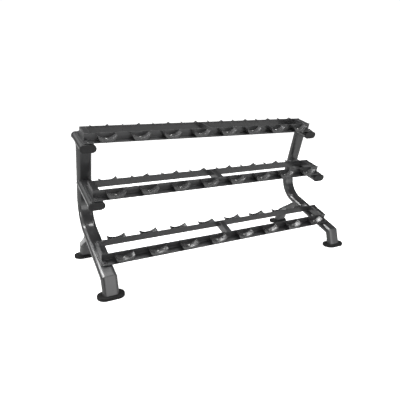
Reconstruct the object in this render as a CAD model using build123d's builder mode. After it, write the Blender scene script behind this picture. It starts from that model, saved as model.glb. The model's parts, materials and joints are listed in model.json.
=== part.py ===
from build123d import *
import os

# Three-tier dumbbell rack in millimetres.
# Origin: on the floor, at the middle of the footprint.  +X along the shelves, +Y to the back, +Z up.
# Two bent flat-oval end frames carry three sloping shelves; each shelf has two rows of eight cradles.

os.makedirs("parts", exist_ok=True)

# ---- driving dimensions -------------------------------------------------------------------------

# flat-oval tube of both end frames
TUBE_WIDTH = 100            # along X
TUBE_DEPTH = 50
TUBE_WALL = 3
FRAME_X = 895               # centre plane of each end frame
SIDES = {"left": -FRAME_X, "right": FRAME_X}

# side profile of an end frame, as (Y, Z) points and angles above the horizontal
FRONT_BASE_Y = -346         # centres of the legs' lower ends
REAR_BASE_Y = 332
TUBE_BASE_Z = 16            # the tubes stop here, inside the rubber feet
FRONT_KNEE = (-320, 112.5)
REAR_KNEE = (269, 128)
SWEEP_ANGLE = 19.6
SWEEP_LENGTH = 464
BEND_RADIUS = 180
POST_ANGLE = 106.5          # the post leans to the front at its top
STRUT_ANGLE = 30

# shelves: the inner bottom corner of the front rail, as (Y, Z), and the slope to the front
UPPER_SEAT = 8              # thickness of the flat plates between the arms and the rails
BOTTOM_SEAT = 5             # and between the sweep and the rails
UPPER_SLOPE = 14.5
TOP_CORNER = (36.3, 881)
MIDDLE_CORNER = (-96.5, 549)
BOTTOM_ALONG_SWEEP = 118    # from the front knee to the bottom shelf's corner

# arms, measured up the slope from a shelf's corner
ARM_FRONT = -47
ARM_BACK = 198
CAP_THICKNESS = 10
CAP_LIP = 2.5               # the cap stands this far proud of the tube
PLUG_LENGTH = 9
PLUG_CLEARANCE = 0.3

# rails and cross brackets, steel angle
RAIL_HALF_LENGTH = 907
ANGLE_LEG = 50
ANGLE_WALL = 5
FLANGE_REACH = 50           # clear width of a rail's flange, beside its wall
REAR_RAIL = 131             # from the front rail's wall to the rear rail's, front face to front face
ANGLE_ROOT = 1.5            # radius inside a rail's corner
ANGLE_EDGE = 0.8            # radius of a rail's other edges
BRACKET_BEND = 4            # radius outside a bracket's bend
BRACKET_FLANGE = 40
BRACKET_STARTS = {"left_bracket": -907, "middle_brace": -25, "right_bracket": 857}
SEAT_WIDTH = 50
SEAT_FRONT = -46            # the plates start behind the arms' caps
SEAT_CORNER = 4
SEAT_EDGE = 0.6

# cradles: a crescent between two arcs, cut flat where it stands on the rail
CRADLE_COUNT = 8
CRADLE_PITCH = 221
CRADLE_DEPTH = 49.4
OUTER_RADIUS = 62
OUTER_CENTRE = 55
CUP_RADIUS = 88
CUP_CENTRE = 108.5
CRADLE_RELIEF = 1.3         # cut along both lower edges, to clear the rail's root

# fasteners
SCREW_RADIUS = 4
SCREW_HEAD_RADIUS = 8.5
SCREW_HEAD_HEIGHT = 4
SCREW_RECESS = 2.5
BOLT_RADIUS = 5
BOLT_HEAD_RADIUS = 8.75
BOLT_HEAD_HEIGHT = 5.5
BOLT_SOCKET = 3.4
BOLT_NUT_HEIGHT = 8
WASHER_RADIUS = 10.5
WASHER_THICKNESS = 1.6
NUT_HEIGHT = 6.5
NUT_RADIUS = 7.5
FLANGE_NUT_RADIUS = 9
SCREW_TAIL = 3
HOLE_CLEARANCE = 0.5

# rubber feet and the steel plugs that they are screwed to
FOOT_Y = 344.5              # front foot at -FOOT_Y, rear foot at +FOOT_Y
FOOT_WIDTH = 166
FOOT_DEPTH = 104
FOOT_CORNER = 51
FOOT_HEIGHT = 19
FOOT_EDGE = 3
FOOT_PLUG_HEIGHT = 10
FOOT_SCREW_SPACING = 50
FOOT_SCREW_RADIUS = 4
FOOT_SCREW_HEAD_RADIUS = 7
FOOT_SCREW_HEAD_HEIGHT = 5
FOOT_SCREW_RECESS = 8


def finish(piece, name):
    """Label a finished piece and write it."""
    piece.part.label = name
    export_step(piece.part, f"parts/{name}.step")


# rows of cradles and of shelf bolts, up the slope from a shelf's corner
FRONT_ROW = -FLANGE_REACH / 2
REAR_ROW = REAR_RAIL + ANGLE_WALL + FLANGE_REACH / 2
BOLT_ROWS = (FRONT_ROW, REAR_ROW)


# ---- end frames ---------------------------------------------------------------------------------

# directions in the side profile, as vectors in space
ACROSS = Vector(1, 0, 0)


def slope_vector(angle):
    """Unit vector in the side profile at an angle above the horizontal, pointing to the back."""
    return Vector(0, 1, 0).rotate(Axis.X, angle)


def profile_point(x, point):
    """A (Y, Z) point of the side profile, at a given X."""
    return Vector(x, point[0], point[1])


def meeting_point(start_a, along_a, start_b, along_b):
    """Where two lines of the side profile cross."""
    offset = start_b - start_a
    reach = (offset.Y * along_b.Z - offset.Z * along_b.Y) / (along_a.Y * along_b.Z - along_a.Z * along_b.Y)
    return start_a + along_a * reach


def oval(start, along, hollow=True):
    """The tube's section at a point, square to a direction: a face ready to extrude or sweep."""
    with BuildSketch(Plane(origin=start, x_dir=ACROSS, z_dir=along)) as section:
        SlotOverall(TUBE_WIDTH, TUBE_DEPTH)
        if hollow:
            SlotOverall(TUBE_WIDTH - 2 * TUBE_WALL, TUBE_DEPTH - 2 * TUBE_WALL, mode=Mode.SUBTRACT)
    return section.sketch


def straight_tube(start, end, hollow=True):
    """A straight length of tube between two points."""
    along = (end - start).normalized()
    with BuildPart() as tube:
        add(oval(start, along, hollow))
        extrude(amount=(end - start).length, dir=along)
    return tube.part


def mitre_plane(corner, kept_way, other_way):
    """The cut between two tubes that meet at a corner; its normal points into the kept tube."""
    return Plane(origin=corner, x_dir=ACROSS, z_dir=(kept_way - other_way).normalized())


def bent_tube(x, top, hollow=True):
    """Sweep, bend and post in one length, from ahead of the front knee up to a point."""
    sweep_way = slope_vector(SWEEP_ANGLE)
    start = profile_point(x, FRONT_KNEE) - sweep_way * TUBE_WIDTH
    bend_start = profile_point(x, FRONT_KNEE) + sweep_way * SWEEP_LENGTH
    bend_end = post_foot(x)
    with BuildPart() as tube:
        with BuildLine(Plane.YZ.offset(x)) as route:
            Line((start.Y, start.Z), (bend_start.Y, bend_start.Z))
            JernArc(
                start=(bend_start.Y, bend_start.Z),
                tangent=(sweep_way.Y, sweep_way.Z),
                radius=BEND_RADIUS,
                arc_size=POST_ANGLE - SWEEP_ANGLE,
            )
            Line((bend_end.Y, bend_end.Z), (top.Y, top.Z))
        add(oval(start, sweep_way, hollow))
        sweep(path=route.wires()[0])
    return tube.part


def post_foot(x):
    """A point on the post's axis, where the bend ends."""
    bend_start = profile_point(x, FRONT_KNEE) + slope_vector(SWEEP_ANGLE) * SWEEP_LENGTH
    bend_centre = bend_start + slope_vector(SWEEP_ANGLE + 90) * BEND_RADIUS
    return bend_centre - slope_vector(POST_ANGLE + 90) * BEND_RADIUS


def arm_axis(x, corner):
    """Start and direction of an arm that lies under a shelf."""
    along = slope_vector(UPPER_SLOPE)
    square = slope_vector(UPPER_SLOPE + 90)
    start = profile_point(x, corner) - square * (UPPER_SEAT + TUBE_DEPTH / 2) + along * ARM_FRONT
    return start, along


def seat_holes(corner_point, slope, seat):
    """Cylinders through a tube's top wall for the two shelf bolts."""
    along = slope_vector(slope)
    square = slope_vector(slope + 90)
    with BuildPart() as holes:
        for reach in BOLT_ROWS:
            centre = corner_point + along * reach - square * (seat + TUBE_WALL / 2)
            with BuildSketch(Plane(origin=centre, x_dir=ACROSS, z_dir=square)):
                Circle(BOLT_RADIUS + HOLE_CLEARANCE)
            extrude(amount=2 * TUBE_WALL, both=True)
    return holes.part


def bottom_corner(x):
    """The bottom shelf's corner: it lies along the sweep, one seat plate above the tube."""
    along = slope_vector(SWEEP_ANGLE)
    square = slope_vector(SWEEP_ANGLE + 90)
    height = TUBE_DEPTH / 2 + BOTTOM_SEAT
    return profile_point(x, FRONT_KNEE) + along * BOTTOM_ALONG_SWEEP + square * height


def end_cap(face_centre, outward):
    """Plastic cap: a filleted oval face plate with a plug that fills the tube's mouth."""
    with BuildPart() as cap:
        with BuildSketch(Plane(origin=face_centre, x_dir=ACROSS, z_dir=outward)):
            SlotOverall(TUBE_WIDTH + 2 * CAP_LIP, TUBE_DEPTH + 2 * CAP_LIP)
        extrude(amount=CAP_THICKNESS)
        fillet(cap.faces().sort_by(Axis(face_centre, outward))[-1].edges(), radius=CAP_THICKNESS * 0.4)
        inset = 2 * (TUBE_WALL + PLUG_CLEARANCE)
        with BuildSketch(Plane(origin=face_centre, x_dir=ACROSS, z_dir=outward)):
            SlotOverall(TUBE_WIDTH - inset, TUBE_DEPTH - inset)
        extrude(amount=-PLUG_LENGTH)
    return cap


def rubber_foot(x, y, screw_y):
    """Rubber foot: a rounded pad with two screw holes from below."""
    with BuildPart() as foot:
        with BuildSketch(Plane.XY):
            with Locations((x, y)):
                RectangleRounded(FOOT_WIDTH, FOOT_DEPTH, FOOT_CORNER)
        extrude(amount=FOOT_HEIGHT)
        fillet(foot.faces().sort_by(Axis.Z)[-1].edges(), radius=FOOT_EDGE)
        fillet(foot.faces().sort_by(Axis.Z)[0].edges(), radius=FOOT_EDGE / 2)
        screws = [(x - FOOT_SCREW_SPACING / 2, screw_y), (x + FOOT_SCREW_SPACING / 2, screw_y)]
        with BuildSketch(Plane.XY):
            with Locations(*screws):
                Circle(FOOT_SCREW_RADIUS + HOLE_CLEARANCE)
        extrude(amount=FOOT_HEIGHT, mode=Mode.SUBTRACT)
        with BuildSketch(Plane.XY):
            with Locations(*screws):
                Circle(FOOT_SCREW_HEAD_RADIUS + 2 * HOLE_CLEARANCE)
        extrude(amount=FOOT_SCREW_RECESS, mode=Mode.SUBTRACT)
    return foot


def foot_plug(base, leg_way):
    """Steel plug welded flush into a leg's lower end, tapped for the foot's two screws."""
    inset = 2 * (TUBE_WALL + 0.1)
    floor_plane = Plane.XY.offset(TUBE_BASE_Z)
    with BuildPart() as plug:
        with BuildSketch(Plane(origin=base - leg_way * TUBE_DEPTH, x_dir=ACROSS, z_dir=leg_way)):
            SlotOverall(TUBE_WIDTH - inset, TUBE_DEPTH - inset)
        extrude(amount=2 * TUBE_DEPTH)
        split(bisect_by=floor_plane, keep=Keep.TOP)
        split(bisect_by=floor_plane.offset(FOOT_PLUG_HEIGHT), keep=Keep.BOTTOM)
        with BuildSketch(floor_plane):
            with Locations((base.X, base.Y)):
                with GridLocations(FOOT_SCREW_SPACING, 1, 2, 1):
                    Circle(FOOT_SCREW_RADIUS)
        extrude(amount=FOOT_PLUG_HEIGHT, mode=Mode.SUBTRACT)
    return plug


def make_end_frame(side, x):
    """Every piece of one end frame."""
    sweep_way = slope_vector(SWEEP_ANGLE)
    post_way = slope_vector(POST_ANGLE)
    front_knee = profile_point(x, FRONT_KNEE)
    rear_knee = profile_point(x, REAR_KNEE)
    front_base = Vector(x, FRONT_BASE_Y, TUBE_BASE_Z)
    rear_base = Vector(x, REAR_BASE_Y, TUBE_BASE_Z)
    front_leg_way = (front_knee - front_base).normalized()
    rear_leg_way = (rear_knee - rear_base).normalized()
    strut_way = slope_vector(180 - STRUT_ANGLE)

    top_start, arm_way = arm_axis(x, TOP_CORNER)
    middle_start, arm_way = arm_axis(x, MIDDLE_CORNER)
    top_end = top_start + arm_way * (ARM_BACK - ARM_FRONT)
    post_top = meeting_point(post_foot(x), post_way, top_start, arm_way)
    middle_end = meeting_point(middle_start, arm_way, post_foot(x), post_way)
    strut_end = meeting_point(rear_knee, strut_way, front_knee, sweep_way)

    with BuildPart() as top_arm:
        add(straight_tube(top_start, top_end))
        add(seat_holes(profile_point(x, TOP_CORNER), UPPER_SLOPE, UPPER_SEAT), mode=Mode.SUBTRACT)
    finish(top_arm, f"{side}_top_arm")

    front_mitre = mitre_plane(front_knee, sweep_way, front_leg_way * -1)
    with BuildPart() as main_tube:
        add(bent_tube(x, post_top))
        split(bisect_by=front_mitre, keep=Keep.TOP)
        add(straight_tube(top_start, top_end, hollow=False), mode=Mode.SUBTRACT)
        add(seat_holes(bottom_corner(x), SWEEP_ANGLE, BOTTOM_SEAT), mode=Mode.SUBTRACT)
    finish(main_tube, f"{side}_main_tube")

    main_envelope = bent_tube(x, post_top, hollow=False)

    with BuildPart() as middle_arm:
        add(straight_tube(middle_start, middle_end))
        add(main_envelope, mode=Mode.SUBTRACT)
        add(seat_holes(profile_point(x, MIDDLE_CORNER), UPPER_SLOPE, UPPER_SEAT), mode=Mode.SUBTRACT)
    finish(middle_arm, f"{side}_middle_arm")

    with BuildPart() as front_leg:
        add(straight_tube(front_base - front_leg_way * TUBE_DEPTH, front_knee + front_leg_way * TUBE_DEPTH))
        split(bisect_by=front_mitre, keep=Keep.BOTTOM)
        split(bisect_by=Plane.XY.offset(TUBE_BASE_Z), keep=Keep.TOP)
    finish(front_leg, f"{side}_front_leg")

    rear_mitre = mitre_plane(rear_knee, strut_way, rear_leg_way * -1)
    with BuildPart() as rear_strut:
        add(straight_tube(rear_knee - strut_way * TUBE_DEPTH, strut_end))
        split(bisect_by=rear_mitre, keep=Keep.TOP)
        add(main_envelope, mode=Mode.SUBTRACT)
    finish(rear_strut, f"{side}_rear_strut")

    with BuildPart() as rear_leg:
        add(straight_tube(rear_base - rear_leg_way * TUBE_DEPTH, rear_knee + rear_leg_way * TUBE_DEPTH))
        split(bisect_by=rear_mitre, keep=Keep.BOTTOM)
        split(bisect_by=Plane.XY.offset(TUBE_BASE_Z), keep=Keep.TOP)
    finish(rear_leg, f"{side}_rear_leg")

    finish(end_cap(top_start, arm_way * -1), f"{side}_top_arm_front_cap")
    finish(end_cap(top_end, arm_way), f"{side}_top_arm_rear_cap")
    finish(end_cap(middle_start, arm_way * -1), f"{side}_middle_arm_cap")

    for place, foot_y, base, leg_way in (
        ("front", -FOOT_Y, front_base, front_leg_way),
        ("rear", FOOT_Y, rear_base, rear_leg_way),
    ):
        finish(foot_plug(base, leg_way), f"{side}_{place}_foot_plug")
        with BuildPart() as socket:
            add(straight_tube(base - leg_way * TUBE_DEPTH, base + leg_way * TUBE_DEPTH, hollow=False))
            split(bisect_by=Plane.XY.offset(TUBE_BASE_Z), keep=Keep.TOP)
        with BuildPart() as foot:
            add(rubber_foot(x, foot_y, base.Y))
            add(socket, mode=Mode.SUBTRACT)
        finish(foot, f"{side}_{place}_foot")


for side, frame_x in SIDES.items():
    make_end_frame(side, frame_x)


# ---- shelves ------------------------------------------------------------------------------------

# A shelf is drawn once on Plane.XY: x along the rack, y up the slope, z square to the shelf, with its
# origin at the front rail's inner bottom corner.  It is then placed on the plane of each tier.

def shelf_plane(corner_point, slope):
    return Plane(origin=corner_point, x_dir=ACROSS, z_dir=slope_vector(slope + 90))


SHELVES = {
    "top": shelf_plane(profile_point(0, TOP_CORNER), UPPER_SLOPE),
    "middle": shelf_plane(profile_point(0, MIDDLE_CORNER), UPPER_SLOPE),
    "bottom": shelf_plane(bottom_corner(0), SWEEP_ANGLE),
}

SEATS = {"top": UPPER_SEAT, "middle": UPPER_SEAT, "bottom": BOTTOM_SEAT}

CRADLE_X = [(number - (CRADLE_COUNT - 1) / 2) * CRADLE_PITCH for number in range(CRADLE_COUNT)]
BOLT_PLACES = [(x, y) for x in SIDES.values() for y in BOLT_ROWS]


def shelf_rail(wall_start, flange_start, row):
    """Steel angle: a standing wall and a flange to one side, drilled for cradles and bolts."""
    with BuildPart() as rail:
        with BuildSketch(Plane.YZ.offset(-RAIL_HALF_LENGTH)) as section:
            with Locations((wall_start, 0)):
                Rectangle(ANGLE_WALL, ANGLE_LEG, align=Align.MIN)
            with Locations((flange_start, 0)):
                Rectangle(ANGLE_WALL + FLANGE_REACH, ANGLE_WALL, align=Align.MIN)
            flange_is_behind = flange_start == wall_start
            root = (wall_start + (ANGLE_WALL if flange_is_behind else 0), ANGLE_WALL)
            fillet(section.vertices().sort_by_distance(root)[1:], radius=ANGLE_EDGE)
            fillet(section.vertices().sort_by_distance(root)[0], radius=ANGLE_ROOT)
        extrude(amount=2 * RAIL_HALF_LENGTH)
        with BuildSketch(Plane.XY):
            with Locations(*[(x, row) for x in CRADLE_X]):
                Circle(SCREW_RADIUS + HOLE_CLEARANCE)
            with Locations(*[(x, row) for x in SIDES.values()]):
                Circle(BOLT_RADIUS + HOLE_CLEARANCE)
        extrude(amount=ANGLE_WALL, mode=Mode.SUBTRACT)
    return rail.part


def shelf_bracket(start_x):
    """Cross bracket between the rails: a standing web with a narrower flange along its top."""
    with BuildPart() as bracket:
        with BuildSketch(Plane.XZ.offset(-ANGLE_WALL)) as section:
            with Locations((start_x, 0)):
                Rectangle(ANGLE_WALL, ANGLE_LEG, align=Align.MIN)
            with Locations((start_x, ANGLE_LEG - ANGLE_WALL)):
                Rectangle(BRACKET_FLANGE, ANGLE_WALL, align=Align.MIN)
            bend = (start_x, ANGLE_LEG)
            root = (start_x + ANGLE_WALL, ANGLE_LEG - ANGLE_WALL)
            fillet(section.vertices().sort_by_distance(bend)[0], radius=BRACKET_BEND)
            fillet(section.vertices().sort_by_distance(root)[0], radius=ANGLE_ROOT)
        extrude(amount=-(REAR_RAIL - ANGLE_WALL))
    return bracket.part


def cradle():
    """One cradle at the origin: its back is on the rail's wall, its underside on the flange."""
    with BuildPart() as saddle:
        with BuildSketch(Plane.XZ.offset(-CRADLE_DEPTH / 2)):
            with Locations((0, OUTER_CENTRE)):
                Circle(OUTER_RADIUS)
            with Locations((0, CUP_CENTRE)):
                Circle(CUP_RADIUS, mode=Mode.SUBTRACT)
            with Locations((0, ANGLE_WALL)):
                Rectangle(4 * OUTER_RADIUS, OUTER_RADIUS, align=(Align.CENTER, Align.MAX), mode=Mode.SUBTRACT)
        extrude(amount=CRADLE_DEPTH)
        with BuildSketch(Plane.YZ):
            with Locations((-CRADLE_DEPTH / 2, ANGLE_WALL), (CRADLE_DEPTH / 2, ANGLE_WALL)):
                RegularPolygon(CRADLE_RELIEF, 4)
        extrude(amount=OUTER_RADIUS, both=True, mode=Mode.SUBTRACT)
        cup_floor = CUP_CENTRE - CUP_RADIUS
        with BuildSketch(Plane.XY.offset(ANGLE_WALL)):
            Circle(SCREW_RADIUS + HOLE_CLEARANCE)
        extrude(amount=cup_floor, mode=Mode.SUBTRACT)
        with BuildSketch(Plane.XY.offset(cup_floor - SCREW_RECESS)):
            Circle(SCREW_HEAD_RADIUS + HOLE_CLEARANCE)
        extrude(amount=2 * SCREW_RECESS, mode=Mode.SUBTRACT)
    return saddle.part


def cradle_screw():
    """Domed screw with a hexagon socket, from the cup's floor down through the flange."""
    head_base = CUP_CENTRE - CUP_RADIUS - SCREW_RECESS
    with BuildPart() as screw:
        with BuildSketch(Plane.XY.offset(head_base)):
            Circle(SCREW_HEAD_RADIUS)
        extrude(amount=SCREW_HEAD_HEIGHT)
        fillet(screw.edges().sort_by(Axis.Z)[-1], radius=SCREW_HEAD_HEIGHT * 0.6)
        with BuildSketch(Plane.XY.offset(head_base + SCREW_HEAD_HEIGHT)):
            RegularPolygon(SCREW_RADIUS * 0.7, 6)
        extrude(amount=-SCREW_HEAD_HEIGHT * 0.6, mode=Mode.SUBTRACT)
        with BuildSketch(Plane.XY.offset(head_base)):
            Circle(SCREW_RADIUS)
        extrude(amount=-(head_base + NUT_HEIGHT + SCREW_TAIL))
    return screw.part


def cradle_nut():
    """Flanged hexagon nut under the rail."""
    with BuildPart() as nut:
        with BuildSketch(Plane.XY):
            Circle(FLANGE_NUT_RADIUS)
        extrude(amount=-1.5)
        with BuildSketch(Plane.XY):
            RegularPolygon(NUT_RADIUS, 6)
        extrude(amount=-NUT_HEIGHT)
        with BuildSketch(Plane.XY):
            Circle(SCREW_RADIUS)
        extrude(amount=-NUT_HEIGHT, mode=Mode.SUBTRACT)
    return nut.part


def shelf_bolt(seat):
    """Button-head bolt that holds a rail to the end frame."""
    head_base = ANGLE_WALL + WASHER_THICKNESS
    reach = seat + TUBE_WALL + BOLT_NUT_HEIGHT + SCREW_TAIL
    with BuildPart() as bolt:
        with BuildSketch(Plane.XY.offset(head_base)):
            Circle(BOLT_HEAD_RADIUS)
        extrude(amount=BOLT_HEAD_HEIGHT)
        fillet(bolt.edges().sort_by(Axis.Z)[-1], radius=BOLT_HEAD_HEIGHT * 0.75)
        with BuildSketch(Plane.XY.offset(head_base + BOLT_HEAD_HEIGHT)):
            RegularPolygon(BOLT_SOCKET, 6)
        extrude(amount=-BOLT_HEAD_HEIGHT * 0.6, mode=Mode.SUBTRACT)
        with BuildSketch(Plane.XY.offset(head_base)):
            Circle(BOLT_RADIUS)
        extrude(amount=-(head_base + reach))
    return bolt.part


def shelf_washer():
    """Flat washer under a shelf bolt's head."""
    with BuildPart() as washer:
        with BuildSketch(Plane.XY.offset(ANGLE_WALL)):
            Circle(WASHER_RADIUS)
            Circle(BOLT_RADIUS + HOLE_CLEARANCE, mode=Mode.SUBTRACT)
        extrude(amount=WASHER_THICKNESS)
    return washer.part


def shelf_nut(seat):
    """Hexagon nut welded inside the tube."""
    with BuildPart() as nut:
        with BuildSketch(Plane.XY.offset(-seat - TUBE_WALL)):
            RegularPolygon(BOLT_NUT_HEIGHT + 1, 6)
            Circle(BOLT_RADIUS, mode=Mode.SUBTRACT)
        extrude(amount=-BOLT_NUT_HEIGHT)
    return nut.part


def seat_plate(x, seat):
    """Flat plate on a tube's crown that the rails and the bracket stand on."""
    with BuildPart() as plate:
        seat_back = REAR_ROW + FLANGE_REACH / 2
        with BuildSketch(Plane.XY):
            with Locations((x, (SEAT_FRONT + seat_back) / 2)):
                RectangleRounded(SEAT_WIDTH, seat_back - SEAT_FRONT, SEAT_CORNER)
        extrude(amount=-seat)
        chamfer(plate.faces().sort_by(Axis.Z)[-1].edges(), length=SEAT_EDGE)
        with BuildSketch(Plane.XY):
            with Locations(*[(x, y) for y in BOLT_ROWS]):
                Circle(BOLT_RADIUS + HOLE_CLEARANCE)
        extrude(amount=-seat, mode=Mode.SUBTRACT)
    return plate.part


def placed(solid, plane, places=((0, 0),)):
    """Copies of a solid drawn on Plane.XY, set on a shelf's plane."""
    with BuildPart(plane) as group:
        with Locations(*[(x, y, 0) for x, y in places]):
            add(solid)
    return group


front_rail = shelf_rail(0, -FLANGE_REACH, FRONT_ROW)
rear_rail = shelf_rail(REAR_RAIL, REAR_RAIL, REAR_ROW)
one_cradle = cradle()

for tier, plane in SHELVES.items():
    finish(placed(front_rail, plane), f"{tier}_front_rail")
    finish(placed(rear_rail, plane), f"{tier}_rear_rail")
    for bracket_name, start_x in BRACKET_STARTS.items():
        finish(placed(shelf_bracket(start_x), plane), f"{tier}_{bracket_name}")
    for side, frame_x in SIDES.items():
        finish(placed(seat_plate(frame_x, SEATS[tier]), plane), f"{side}_{tier}_seat_plate")
    finish(placed(one_cradle, plane, [(x, FRONT_ROW) for x in CRADLE_X]), f"{tier}_front_cradles")
    finish(placed(one_cradle, plane, [(x, REAR_ROW) for x in CRADLE_X]), f"{tier}_rear_cradles")

# ---- fasteners ----------------------------------------------------------------------------------

CRADLE_PLACES = [(x, y) for y in (FRONT_ROW, REAR_ROW) for x in CRADLE_X]


def finish_on_all_shelves(make, places, name):
    """One node that holds a fastener's copies on all three shelves."""
    with BuildPart() as group:
        for tier, plane in SHELVES.items():
            add(placed(make(tier), plane, places).part)
    finish(group, name)


finish_on_all_shelves(lambda tier: cradle_screw(), CRADLE_PLACES, "cradle_screws")
finish_on_all_shelves(lambda tier: cradle_nut(), CRADLE_PLACES, "cradle_nuts")
finish_on_all_shelves(lambda tier: shelf_bolt(SEATS[tier]), BOLT_PLACES, "shelf_bolts")
finish_on_all_shelves(lambda tier: shelf_washer(), BOLT_PLACES, "shelf_washers")
finish_on_all_shelves(lambda tier: shelf_nut(SEATS[tier]), BOLT_PLACES, "shelf_nuts")

FOOT_PLACES = [(x, y) for x in SIDES.values() for y in (FRONT_BASE_Y, REAR_BASE_Y)]

with BuildPart() as foot_screws:
    head_top = FOOT_SCREW_RECESS
    head_base = head_top - FOOT_SCREW_HEAD_HEIGHT
    tip = TUBE_BASE_Z + FOOT_PLUG_HEIGHT
    shifts = (-FOOT_SCREW_SPACING / 2, FOOT_SCREW_SPACING / 2)
    screw_places = [(x + shift, y) for x, y in FOOT_PLACES for shift in shifts]
    with BuildSketch(Plane.XY.offset(head_base)):
        with Locations(*screw_places):
            Circle(FOOT_SCREW_HEAD_RADIUS)
    extrude(amount=FOOT_SCREW_HEAD_HEIGHT)
    with BuildSketch(Plane.XY.offset(head_base)):
        with Locations(*screw_places):
            Circle(FOOT_SCREW_RADIUS)
    extrude(amount=tip - head_base)
finish(foot_screws, "foot_screws")
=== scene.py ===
"""Looks, weld beads, light and camera for a three-tier dumbbell rack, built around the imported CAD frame."""
import json
import math
import random

import bmesh
import bpy
from mathutils import Matrix, Vector


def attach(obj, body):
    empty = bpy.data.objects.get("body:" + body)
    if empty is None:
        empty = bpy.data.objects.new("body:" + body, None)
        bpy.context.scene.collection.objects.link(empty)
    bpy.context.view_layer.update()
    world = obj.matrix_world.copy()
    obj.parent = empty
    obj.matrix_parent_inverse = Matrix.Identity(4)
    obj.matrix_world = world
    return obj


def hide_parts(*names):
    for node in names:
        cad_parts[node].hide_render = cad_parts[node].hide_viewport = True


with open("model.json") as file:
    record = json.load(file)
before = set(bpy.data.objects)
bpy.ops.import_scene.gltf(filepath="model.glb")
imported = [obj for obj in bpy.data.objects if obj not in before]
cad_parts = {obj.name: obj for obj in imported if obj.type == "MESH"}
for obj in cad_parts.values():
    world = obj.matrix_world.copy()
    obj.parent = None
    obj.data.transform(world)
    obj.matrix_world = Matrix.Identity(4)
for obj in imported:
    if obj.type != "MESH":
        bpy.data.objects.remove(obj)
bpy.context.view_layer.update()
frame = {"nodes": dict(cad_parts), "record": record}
NODES = frame["nodes"]
scene = bpy.context.scene
MM = 0.001

# ---- the frame's layout, in millimetres, as the CAD has it --------------------------------------
FRAME_X = 895
TUBE_HALF_FLAT = 25          # the flat of the oval tube runs from -25 to +25
TUBE_RADIUS = 25
FRONT_KNEE = Vector((0, -320, 112.5))
REAR_KNEE = Vector((0, 269, 128))
FRONT_BASE = Vector((0, -346, 16))
REAR_BASE = Vector((0, 332, 16))
SWEEP_ANGLE = 19.6
SWEEP_LENGTH = 464
BEND_RADIUS = 180
POST_ANGLE = 106.5
STRUT_ANGLE = 30
UPPER_SLOPE = 14.5
UPPER_SEAT = 8
BOTTOM_SEAT = 5
TOP_CORNER = Vector((0, 36.3, 881))
MIDDLE_CORNER = Vector((0, -96.5, 549))
BOTTOM_ALONG_SWEEP = 118
ANGLE_LEG = 50
ANGLE_WALL = 5
REAR_RAIL = 131
FLANGE_REACH = 50
BRACKET_WEB_X = (-907, -25, 857)
CRADLES_PER_ROW = 8
CRADLE_PITCH = 221
CRADLE_X = [(number - (CRADLES_PER_ROW - 1) / 2) * CRADLE_PITCH for number in range(CRADLES_PER_ROW)]
CRADLE_ROWS = {"front": -FLANGE_REACH / 2, "rear": REAR_RAIL + ANGLE_WALL + FLANGE_REACH / 2}


def way(angle):
    """Unit vector in the side profile, at an angle above the horizontal."""
    a = math.radians(angle)
    return Vector((0, math.cos(a), math.sin(a)))


BOTTOM_CORNER = (FRONT_KNEE + way(SWEEP_ANGLE) * BOTTOM_ALONG_SWEEP
                 + way(SWEEP_ANGLE + 90) * (TUBE_RADIUS + BOTTOM_SEAT))
SHELVES = {
    "top": (TOP_CORNER, UPPER_SLOPE, UPPER_SEAT),
    "middle": (MIDDLE_CORNER, UPPER_SLOPE, UPPER_SEAT),
    "bottom": (BOTTOM_CORNER, SWEEP_ANGLE, BOTTOM_SEAT),
}
POST_FOOT = (FRONT_KNEE + way(SWEEP_ANGLE) * SWEEP_LENGTH + way(SWEEP_ANGLE + 90) * BEND_RADIUS
             - way(POST_ANGLE + 90) * BEND_RADIUS)
ARM_WAY = way(UPPER_SLOPE)
ARM_DROP = way(UPPER_SLOPE + 90) * (TUBE_RADIUS + UPPER_SEAT)
TOP_ARM = TOP_CORNER - ARM_DROP
MIDDLE_ARM = MIDDLE_CORNER - ARM_DROP

# ---- materials ----------------------------------------------------------------------------------

MIX_A, MIX_B, MIX_COLOR = 6, 7, 2      # the colour sockets of Blender's Mix node


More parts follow.
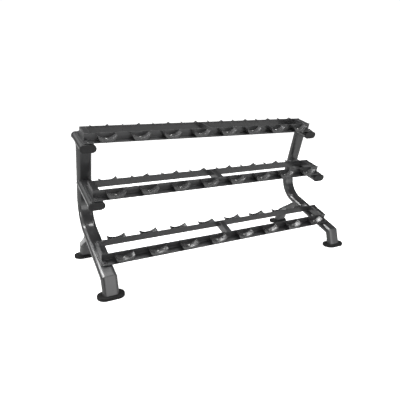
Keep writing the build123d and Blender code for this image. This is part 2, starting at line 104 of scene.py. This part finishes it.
class Shader:
    """A node tree that is built around one Principled shader, in object coordinates."""

    def __init__(self, name):
        self.material = bpy.data.materials.new(name)
        self.material.use_nodes = True
        self.tree = self.material.node_tree
        self.tree.nodes.clear()
        self.out = self.tree.nodes.new("ShaderNodeOutputMaterial")
        self.bsdf = self.tree.nodes.new("ShaderNodeBsdfPrincipled")
        self.link(self.bsdf.outputs[0], self.out.inputs["Surface"])
        self.coords = self.tree.nodes.new("ShaderNodeTexCoord").outputs["Object"]

    def link(self, a, b):
        self.tree.links.new(a, b)

    def set(self, **values):
        for key, value in values.items():
            self.bsdf.inputs[key.replace("_", " ").title().replace("Ior", "IOR")].default_value = value

    def noise(self, scale, detail=3.0, rough=0.55):
        node = self.tree.nodes.new("ShaderNodeTexNoise")
        node.inputs["Scale"].default_value = scale
        node.inputs["Detail"].default_value = detail
        node.inputs["Roughness"].default_value = rough
        self.link(self.coords, node.inputs["Vector"])
        return node.outputs["Fac"]

    def ramp(self, source, stops):
        """A colour ramp between two stops of (position, colour)."""
        node = self.tree.nodes.new("ShaderNodeValToRGB")
        for element, (position, color) in zip(node.color_ramp.elements, stops):
            element.position, element.color = position, (*color, 1)
        self.link(source, node.inputs["Fac"])
        return node.outputs["Color"]

    def spread(self, source, low, high, start=0.0, end=1.0):
        node = self.tree.nodes.new("ShaderNodeMapRange")
        node.inputs["From Min"].default_value = start
        node.inputs["From Max"].default_value = end
        node.inputs["To Min"].default_value = low
        node.inputs["To Max"].default_value = high
        self.link(source, node.inputs["Value"])
        return node.outputs["Result"]

    def multiply(self, a, b):
        """The product of two colours."""
        node = self.tree.nodes.new("ShaderNodeMix")
        node.data_type = "RGBA"
        node.blend_type = "MULTIPLY"
        node.inputs["Factor"].default_value = 1
        self.link(a, node.inputs[MIX_A])
        self.link(b, node.inputs[MIX_B])
        return node.outputs[MIX_COLOR]

    def choose(self, factor, color, source):
        """A plain colour where the factor is 0, and a linked one where it is 1."""
        node = self.tree.nodes.new("ShaderNodeMix")
        node.data_type = "RGBA"
        self.link(factor, node.inputs["Factor"])
        node.inputs[MIX_A].default_value = (*color, 1)
        self.link(source, node.inputs[MIX_B])
        return node.outputs[MIX_COLOR]

    def bump(self, height, strength, distance):
        node = self.tree.nodes.new("ShaderNodeBump")
        node.inputs["Strength"].default_value = strength
        node.inputs["Distance"].default_value = distance
        self.link(height, node.inputs["Height"])
        self.link(node.outputs[0], self.bsdf.inputs["Normal"])

    def color(self, source):
        self.link(source, self.bsdf.inputs["Base Color"])

    def roughness(self, source):
        self.link(source, self.bsdf.inputs["Roughness"])


def powder_coat():
    """Charcoal satin powder coat: fine orange peel, slight clouding, a clear gloss over it."""
    s = Shader("charcoal_powder_coat")
    tone = s.ramp(s.noise(9, detail=5), [(0.3, (0.023, 0.0233, 0.0242)), (0.7, (0.031, 0.0313, 0.0323))])
    speck = s.ramp(s.noise(900, detail=2), [(0.35, (0.86, 0.86, 0.86)), (0.68, (1.12, 1.12, 1.12))])
    s.color(s.multiply(tone, speck))
    s.roughness(s.spread(s.noise(60, detail=4), 0.27, 0.36, 0.3, 0.7))
    s.set(coat_weight=0.6, coat_roughness=0.13)
    s.bump(s.noise(620, detail=3), 0.12, 0.0006)
    return s.material


def moulded_plastic(name, dark, light, rough, specular):
    """Moulded plastic: very fine grain with soft handling marks."""
    s = Shader(name)
    marks = s.noise(22, detail=6, rough=0.62)
    s.color(s.ramp(marks, [(0.32, dark), (0.7, light)]))
    s.roughness(s.spread(s.noise(45, detail=4), rough - 0.06, rough + 0.08, 0.3, 0.7))
    s.set(specular_ior_level=specular)
    s.bump(s.noise(1500, detail=2), 0.2, 0.0004)
    return s.material


def foot_rubber():
    """Dull black rubber with a little dust."""
    s = Shader("foot_rubber")
    dust = s.noise(30, detail=8, rough=0.7)
    s.color(s.ramp(dust, [(0.35, (0.006, 0.006, 0.006)), (0.75, (0.014, 0.014, 0.0135))]))
    s.roughness(s.spread(dust, 0.62, 0.8, 0.3, 0.7))
    s.set(specular_ior_level=0.25)
    s.bump(s.noise(1100, detail=3), 0.35, 0.0005)
    return s.material


def zinc():
    """Dull zinc plate on the nuts, screws and washers."""
    s = Shader("zinc_plate")
    cloud = s.noise(180, detail=4)
    s.color(s.ramp(cloud, [(0.3, (0.34, 0.34, 0.34)), (0.7, (0.5, 0.5, 0.49))]))
    s.roughness(s.spread(s.noise(500, detail=3), 0.22, 0.42, 0.3, 0.7))
    s.set(metallic=1.0)
    s.bump(s.noise(1400, detail=2), 0.1, 0.0003)
    return s.material


def black_oxide():
    """Blackened steel on the darker fasteners."""
    s = Shader("black_oxide")
    cloud = s.noise(160, detail=4)
    s.color(s.ramp(cloud, [(0.3, (0.03, 0.03, 0.032)), (0.7, (0.075, 0.075, 0.078))]))
    s.roughness(s.spread(s.noise(420, detail=3), 0.3, 0.5, 0.3, 0.7))
    s.set(metallic=0.8)
    s.bump(s.noise(1200, detail=2), 0.1, 0.0003)
    return s.material


MATERIALS = {
    "frame_paint": powder_coat(),
    "cradle_plastic": moulded_plastic("cradle_plastic", dark=(0.036, 0.036, 0.037), light=(0.05, 0.05, 0.051),
                                      rough=0.24, specular=0.78),
    "cap_plastic": moulded_plastic("cap_plastic", dark=(0.012, 0.012, 0.0123), light=(0.017, 0.017, 0.0175),
                                   rough=0.5, specular=0.3),
    "foot_rubber": foot_rubber(),
    "zinc_fastener": zinc(),
    "dark_fastener": black_oxide(),
}
slot_of = {entry["node"]: entry["material_slot"] for entry in frame["record"]["subparts"]}
for name, node in NODES.items():
    material = MATERIALS[slot_of[name]]
    if not node.material_slots:
        node.data.materials.append(material)
    for slot in node.material_slots:
        slot.material = material

# ---- weld beads ---------------------------------------------------------------------------------

BEAD_SEED = 7
BEAD_SIDES = 8
BEAD_STEP = 1.1              # millimetres between rings along a bead
RIPPLE_LENGTH = 4.2          # millimetres from one overlapping drop to the next
RIPPLE_HEIGHT = 0.12         # the heights and the taper are shares of the bead's radius
WANDER_HEIGHT = 0.08
WANDER_LENGTH = 17
END_TAPER = (0.45, 0.2)      # at a bead's end, and the growth from ring to ring
JOINT_BEAD = 2.6             # radii, in millimetres
MITRE_BEAD = 1.3
SEAT_BEAD = 1.8
WEB_BEAD = 1.6
SEAT_BEAD_RUNS = ((-42, 2), (42, 92), (134, 178))


def resample(points, closed, step):
    """Points at even spacing along a polyline."""
    if closed:
        points = points + [points[0]]
    lengths = [0.0]
    for a, b in zip(points, points[1:]):
        lengths.append(lengths[-1] + (b - a).length)
    count = max(3, round(lengths[-1] / step))
    result = []
    segment = 0
    for i in range(count if closed else count + 1):
        target = lengths[-1] * i / count
        while segment < len(points) - 2 and lengths[segment + 1] < target:
            segment += 1
        span = lengths[segment + 1] - lengths[segment]
        share = (target - lengths[segment]) / span if span else 0
        result.append(points[segment].lerp(points[segment + 1], share))
    return result


def add_bead(mesh, points, radius, closed, rng):
    """One weld bead: a tube on a path whose radius swells and necks like overlapping drops."""
    points = resample(points, closed, BEAD_STEP)
    count = len(points)
    rings = []
    phase = rng.random() * math.tau
    wander = rng.random() * 10
    for i, point in enumerate(points):
        before = points[i - 1] if (closed or i) else point
        after = points[(i + 1) % count] if (closed or i < count - 1) else point
        along = (after - before).normalized()
        side = along.cross(Vector((1, 0, 0)))
        if side.length < 0.2:
            side = along.cross(Vector((0, 0, 1)))
        side.normalize()
        up = side.cross(along)
        distance = i * BEAD_STEP
        ripple = abs(math.sin(math.pi * distance / RIPPLE_LENGTH + phase))
        swell = 1 + RIPPLE_HEIGHT * ripple - RIPPLE_HEIGHT / 2
        swell += WANDER_HEIGHT * math.sin(distance / WANDER_LENGTH + wander)
        if not closed:
            swell *= min(1.0, END_TAPER[0] + min(i, count - 1 - i) * END_TAPER[1])
        ring = []
        for k in range(BEAD_SIDES):
            angle = math.tau * k / BEAD_SIDES
            offset = side * math.cos(angle) + up * math.sin(angle)
            ring.append(mesh.verts.new((point + offset * radius * swell) * MM))
        rings.append(ring)
    pairs = list(zip(rings, rings[1:]))
    if closed:
        pairs.append((rings[-1], rings[0]))
    for one, two in pairs:
        for k in range(BEAD_SIDES):
            mesh.faces.new((one[k], one[(k + 1) % BEAD_SIDES], two[(k + 1) % BEAD_SIDES], two[k]))
    if not closed:
        mesh.faces.new(rings[0][::-1])
        mesh.faces.new(rings[-1])


def make_piece(name, mesh, slot):
    """A finished Blender piece from a bmesh: smooth, in its material, riding on the frame."""
    bmesh.ops.recalc_face_normals(mesh, faces=mesh.faces)
    data = bpy.data.meshes.new(name)
    mesh.to_mesh(data)
    mesh.free()
    for polygon in data.polygons:
        polygon.use_smooth = True
    piece = bpy.data.objects.new(name, data)
    scene.collection.objects.link(piece)
    data.materials.append(MATERIALS[slot])
    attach(piece, "root")
    return piece


def oval_outline(count_per_arc=24):
    """The tube's outline as (x, depth) points, once round."""
    outline = []
    for centre, start in ((TUBE_HALF_FLAT, -90), (-TUBE_HALF_FLAT, 90)):
        for i in range(count_per_arc + 1):
            angle = math.radians(start + 180 * i / count_per_arc)
            outline.append((centre + TUBE_RADIUS * math.cos(angle), TUBE_RADIUS * math.sin(angle)))
    return outline


def half_depth(x):
    """Half the tube's depth at a distance from its centre plane."""
    return math.sqrt(max(TUBE_RADIUS ** 2 - max(abs(x) - TUBE_HALF_FLAT, 0) ** 2, 0))


def square_to(along):
    return Vector((0, -along.z, along.y))


def cope_path(x, start, along, other_point, other_along):
    """Where a tube's outline runs out onto another tube of the same section."""
    other_square = square_to(other_along)
    if (start - other_point).dot(other_square) < 0:
        other_square = -other_square
    points = []
    for dx, depth in oval_outline():
        base = start + square_to(along) * depth
        gap = (base - other_point).dot(other_square) - half_depth(dx)
        reach = -gap / along.dot(other_square)
        points.append(base + along * reach + Vector((x + dx, 0, 0)))
    return points


def mitre_path(x, corner, first_way, second_way):
    """The outline of a mitred corner between two tubes."""
    cut = (first_way - second_way).normalized()
    points = []
    for dx, depth in oval_outline():
        base = square_to(first_way) * depth
        reach = -base.dot(cut) / first_way.dot(cut)
        points.append(corner + base + first_way * reach + Vector((x + dx, 0, 0)))
    return points


def shelf_point(tier, x, along, up):
    corner, slope, _ = SHELVES[tier]
    return corner + way(slope) * along + way(slope + 90) * up + Vector((x, 0, 0))


rng = random.Random(BEAD_SEED)
for side, x in (("left", -FRAME_X), ("right", FRAME_X)):
    beads = bmesh.new()
    front_leg_way = (FRONT_KNEE - FRONT_BASE).normalized()
    rear_leg_way = (REAR_KNEE - REAR_BASE).normalized()
    strut_way = way(180 - STRUT_ANGLE)
    add_bead(beads, cope_path(x, REAR_KNEE, strut_way, FRONT_KNEE, way(SWEEP_ANGLE)), JOINT_BEAD, True, rng)
    add_bead(beads, cope_path(x, MIDDLE_ARM, ARM_WAY, POST_FOOT, way(POST_ANGLE)), JOINT_BEAD, True, rng)
    add_bead(beads, cope_path(x, POST_FOOT, way(POST_ANGLE), TOP_ARM, ARM_WAY), JOINT_BEAD, True, rng)
    add_bead(beads, mitre_path(x, FRONT_KNEE, way(SWEEP_ANGLE), -front_leg_way), MITRE_BEAD, True, rng)
    add_bead(beads, mitre_path(x, REAR_KNEE, strut_way, -rear_leg_way), MITRE_BEAD, True, rng)
    for tier, (_, _, seat) in SHELVES.items():
        for edge in (-TUBE_HALF_FLAT, TUBE_HALF_FLAT):
            for run in SEAT_BEAD_RUNS:
                path = [shelf_point(tier, x + edge, along, -seat) for along in run]
                add_bead(beads, path, SEAT_BEAD, False, rng)
    make_piece(f"{side}_frame_welds", beads, "frame_paint")

for tier in SHELVES:
    beads = bmesh.new()
    for web_x in BRACKET_WEB_X:
        for along in (ANGLE_WALL, REAR_RAIL):
            for face in (web_x, web_x + ANGLE_WALL):
                top = ANGLE_LEG - 2 if face == web_x else ANGLE_LEG - ANGLE_WALL - 1
                path = [shelf_point(tier, face, along, up) for up in (2, top)]
                add_bead(beads, path, WEB_BEAD, False, rng)
    make_piece(f"{tier}_bracket_welds", beads, "frame_paint")

# ---- cradles ------------------------------------------------------------------------------------

OUTER_RADIUS, OUTER_CENTRE = 62, 55
CUP_RADIUS, CUP_CENTRE = 88, 108.5
TIP_X = 61.2
CRADLE_DEPTH = 49.4
CRADLE_EDGE = 1.6
RECESS_RADIUS, RECESS_DEPTH = 9.4, 2.5
RECESS_TAPER = 0.6
RECESS_SIDES = 64
CUP_FLOOR = CUP_CENTRE - CUP_RADIUS
CRADLE_STEPS = 72            # sections from horn to horn
CORNER_STEPS = 3             # each side of a rounded corner's middle
HORN_SHARE = 0.42            # of a thin section's height that its rounded corners may take
LEAST_HEIGHT = 0.05
SMOOTH_BELOW = 38            # degrees between two faces that are shaded as one surface


def cradle_section(x):
    """Lower and upper height of the crescent at a distance from its middle."""
    lower = max(OUTER_CENTRE - math.sqrt(max(OUTER_RADIUS ** 2 - x * x, 0)), ANGLE_WALL)
    return lower, max(CUP_CENTRE - math.sqrt(CUP_RADIUS ** 2 - x * x), lower + LEAST_HEIGHT)


def cradle_mesh():
    """One cradle in its own coordinates, in metres: rounded edges, pointed horns, a screw recess."""
    mesh = bmesh.new()
    rings = []
    for i in range(CRADLE_STEPS + 1):
        x = TIP_X * math.sin(math.pi * (i / CRADLE_STEPS - 0.5))
        lower, upper = cradle_section(x)
        edge = min(CRADLE_EDGE, (upper - lower) * HORN_SHARE)
        ring = []
        for depth_sign, height_sign in ((1, 1), (-1, 1), (-1, -1), (1, -1)):
            corner_y = depth_sign * (CRADLE_DEPTH / 2 - edge)
            corner_z = (upper - edge) if height_sign > 0 else (lower + edge)
            middle = math.atan2(height_sign, depth_sign)
            for k in range(-CORNER_STEPS, CORNER_STEPS + 1):
                angle = middle + math.radians(45 / CORNER_STEPS * k)
                point = Vector((x, corner_y + edge * math.cos(angle), corner_z + edge * math.sin(angle)))
                ring.append(mesh.verts.new(point * MM))
        rings.append(ring)
    count = len(rings[0])
    for one, two in zip(rings, rings[1:]):
        for k in range(count):
            mesh.faces.new((one[k], one[(k + 1) % count], two[(k + 1) % count], two[k]))
    mesh.faces.new(rings[0][::-1])
    mesh.faces.new(rings[-1])
    bmesh.ops.recalc_face_normals(mesh, faces=mesh.faces)
    body = bpy.data.meshes.new("cradle_body")
    mesh.to_mesh(body)
    mesh.free()
    cutter_mesh = bmesh.new()
    bmesh.ops.create_cone(cutter_mesh, cap_ends=True, segments=RECESS_SIDES, radius1=RECESS_RADIUS * MM,
                          radius2=(RECESS_RADIUS + RECESS_TAPER) * MM, depth=2 * RECESS_DEPTH * MM)
    bmesh.ops.translate(cutter_mesh, verts=cutter_mesh.verts, vec=(0, 0, CUP_FLOOR * MM))
    cutter_data = bpy.data.meshes.new("recess")
    cutter_mesh.to_mesh(cutter_data)
    cutter_mesh.free()
    holder = bpy.data.objects.new("cradle_body", body)
    cutter = bpy.data.objects.new("recess", cutter_data)
    for item in (holder, cutter):
        scene.collection.objects.link(item)
    cut = holder.modifiers.new("recess", "BOOLEAN")
    cut.object = cutter
    cut.solver = "EXACT"
    bpy.context.view_layer.update()
    result = bpy.data.meshes.new_from_object(holder.evaluated_get(bpy.context.evaluated_depsgraph_get()))
    for item in (holder, cutter):
        bpy.data.objects.remove(item)
    return result


def placed_copies(mesh, source, tier, places):
    """Copies of a mesh drawn level, set on a shelf at (x, along) places."""
    _, slope, _ = SHELVES[tier]
    turn = Matrix.Rotation(math.radians(slope), 4, "X")
    for x, along in places:
        copy = bmesh.new()
        copy.from_mesh(source)
        bmesh.ops.transform(copy, matrix=Matrix.Translation(shelf_point(tier, x, along, 0) * MM) @ turn,
                            verts=copy.verts)
        scratch = bpy.data.meshes.new("scratch")
        copy.to_mesh(scratch)
        copy.free()
        mesh.from_mesh(scratch)
        bpy.data.meshes.remove(scratch)


one_cradle = cradle_mesh()
for tier in SHELVES:
    for row, along in CRADLE_ROWS.items():
        mesh = bmesh.new()
        placed_copies(mesh, one_cradle, tier, [(x, along) for x in CRADLE_X])
        piece = make_piece(f"{tier}_{row}_moulded_cradles", mesh, "cradle_plastic")
        piece.data.set_sharp_from_angle(angle=math.radians(SMOOTH_BELOW))
        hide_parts(f"{tier}_{row}_cradles")

# ---- floor, light and camera --------------------------------------------------------------------

FLOOR_SIZE = 30
FLOOR_SEEN = 0.9                        # the floor's own light: as the camera sees it,
FLOOR_GLOW = 0.36                       # and in reflections
FLOOR_REFLECTED = (0.4, 0.4, 0.4)       # the floor's colour in reflections
SKY_SEEN = 1.05
ROOM_LEFT = 0.8
ROOM_RIGHT = 0.07
ROOM_ACROSS = (-0.45, 0.15)             # where the room changes from left to right, along x
ROOM_UPWARD = (0.2, 0.5)                # where it changes from the dim base to the room's light, along z
# name: place, (tilt from straight down, yaw) in degrees, width, height, power
LIGHTS = {
    "overhead_softbox": ((-1.8, 1.5, 4.4), (0, -20), 9.0, 0.8, 360),
    "high_softbox": ((2.7, -4.2, 3.8), (56, 33), 2.2, 1.8, 45),
    "front_softbox": ((1.0, -5.0, 0.7), (87, 10), 7.5, 2.3, 148),
    "key_softbox": ((-6.5, -1.9, 2.4), (73.5, -74.5), 1.8, 1.4, 140),
}
CAMERA_PLACE = (-1.4026, -2.4547, 1.1655)
CAMERA_TURN = (90 - 15.17, 0, -27.63)
CAMERA_LENS = 35.35
SENSOR_WIDTH = 36


def make_floor():
    """A plain pale floor, dimmer in reflections than to the camera."""
    mesh = bmesh.new()
    bmesh.ops.create_grid(mesh, x_segments=8, y_segments=8, size=FLOOR_SIZE)
    data = bpy.data.meshes.new("floor")
    mesh.to_mesh(data)
    mesh.free()
    floor = bpy.data.objects.new("floor", data)
    scene.collection.objects.link(floor)
    s = Shader("pale_floor")
    path = s.tree.nodes.new("ShaderNodeLightPath")
    pale = s.ramp(s.noise(0.8, detail=3), [(0.3, (0.93, 0.93, 0.93)), (0.7, (0.96, 0.96, 0.96))])
    s.color(s.choose(path.outputs["Is Camera Ray"], FLOOR_REFLECTED, pale))
    s.set(roughness=0.9, emission_color=(1, 1, 1, 1))
    glow = s.spread(path.outputs["Is Camera Ray"], FLOOR_GLOW, FLOOR_SEEN)
    s.link(glow, s.bsdf.inputs["Emission Strength"])
    data.materials.append(s.material)


def area_light(name, place, turn, width, height, power):
    """A softbox; its turn is (tilt from straight down, yaw) in degrees."""
    light = bpy.data.lights.new(name, "AREA")
    light.shape = "RECTANGLE"
    light.size = width
    light.size_y = height
    light.energy = power
    holder = bpy.data.objects.new(name, light)
    holder.location = place
    holder.rotation_euler = (math.radians(turn[0]), 0, math.radians(turn[1]))
    scene.collection.objects.link(holder)


def make_world():
    """White to the camera; to the rest a dim room that is lighter to the left, above the horizon."""
    world = bpy.data.worlds.new("studio")
    world.use_nodes = True
    tree = world.node_tree
    room = tree.nodes["Background"]
    white = tree.nodes.new("ShaderNodeBackground")
    white.inputs["Color"].default_value = (1, 1, 1, 1)
    white.inputs["Strength"].default_value = SKY_SEEN
    coords = tree.nodes.new("ShaderNodeTexCoord")
    split = tree.nodes.new("ShaderNodeSeparateXYZ")
    tree.links.new(coords.outputs["Generated"], split.inputs[0])
    across = tree.nodes.new("ShaderNodeMapRange")
    across.inputs["From Min"].default_value = ROOM_ACROSS[0]
    across.inputs["From Max"].default_value = ROOM_ACROSS[1]
    across.inputs["To Min"].default_value = ROOM_LEFT
    across.inputs["To Max"].default_value = ROOM_RIGHT
    tree.links.new(split.outputs["X"], across.inputs["Value"])
    upward = tree.nodes.new("ShaderNodeMapRange")
    upward.inputs["From Min"].default_value = ROOM_UPWARD[0]
    upward.inputs["From Max"].default_value = ROOM_UPWARD[1]
    upward.inputs["To Min"].default_value = ROOM_RIGHT
    tree.links.new(split.outputs["Z"], upward.inputs["Value"])
    tree.links.new(across.outputs[0], upward.inputs["To Max"])
    tree.links.new(upward.outputs[0], room.inputs["Strength"])
    room.inputs["Color"].default_value = (1, 1, 1, 1)
    path = tree.nodes.new("ShaderNodeLightPath")
    choose = tree.nodes.new("ShaderNodeMixShader")
    tree.links.new(path.outputs["Is Camera Ray"], choose.inputs[0])
    tree.links.new(room.outputs[0], choose.inputs[1])
    tree.links.new(white.outputs[0], choose.inputs[2])
    tree.links.new(choose.outputs[0], tree.nodes["World Output"].inputs["Surface"])
    scene.world = world


def make_lights():
    make_world()
    for name, (place, turn, width, height, power) in LIGHTS.items():
        area_light(name, place, turn, width, height, power)


def make_camera():
    camera = bpy.data.cameras.new("camera")
    camera.sensor_width = SENSOR_WIDTH
    camera.lens = CAMERA_LENS
    camera.clip_end = 200
    holder = bpy.data.objects.new("camera", camera)
    holder.location = CAMERA_PLACE
    holder.rotation_euler = [math.radians(angle) for angle in CAMERA_TURN]
    scene.collection.objects.link(holder)
    scene.camera = holder


make_floor()
make_lights()
make_camera()
scene.view_settings.view_transform = "Standard"
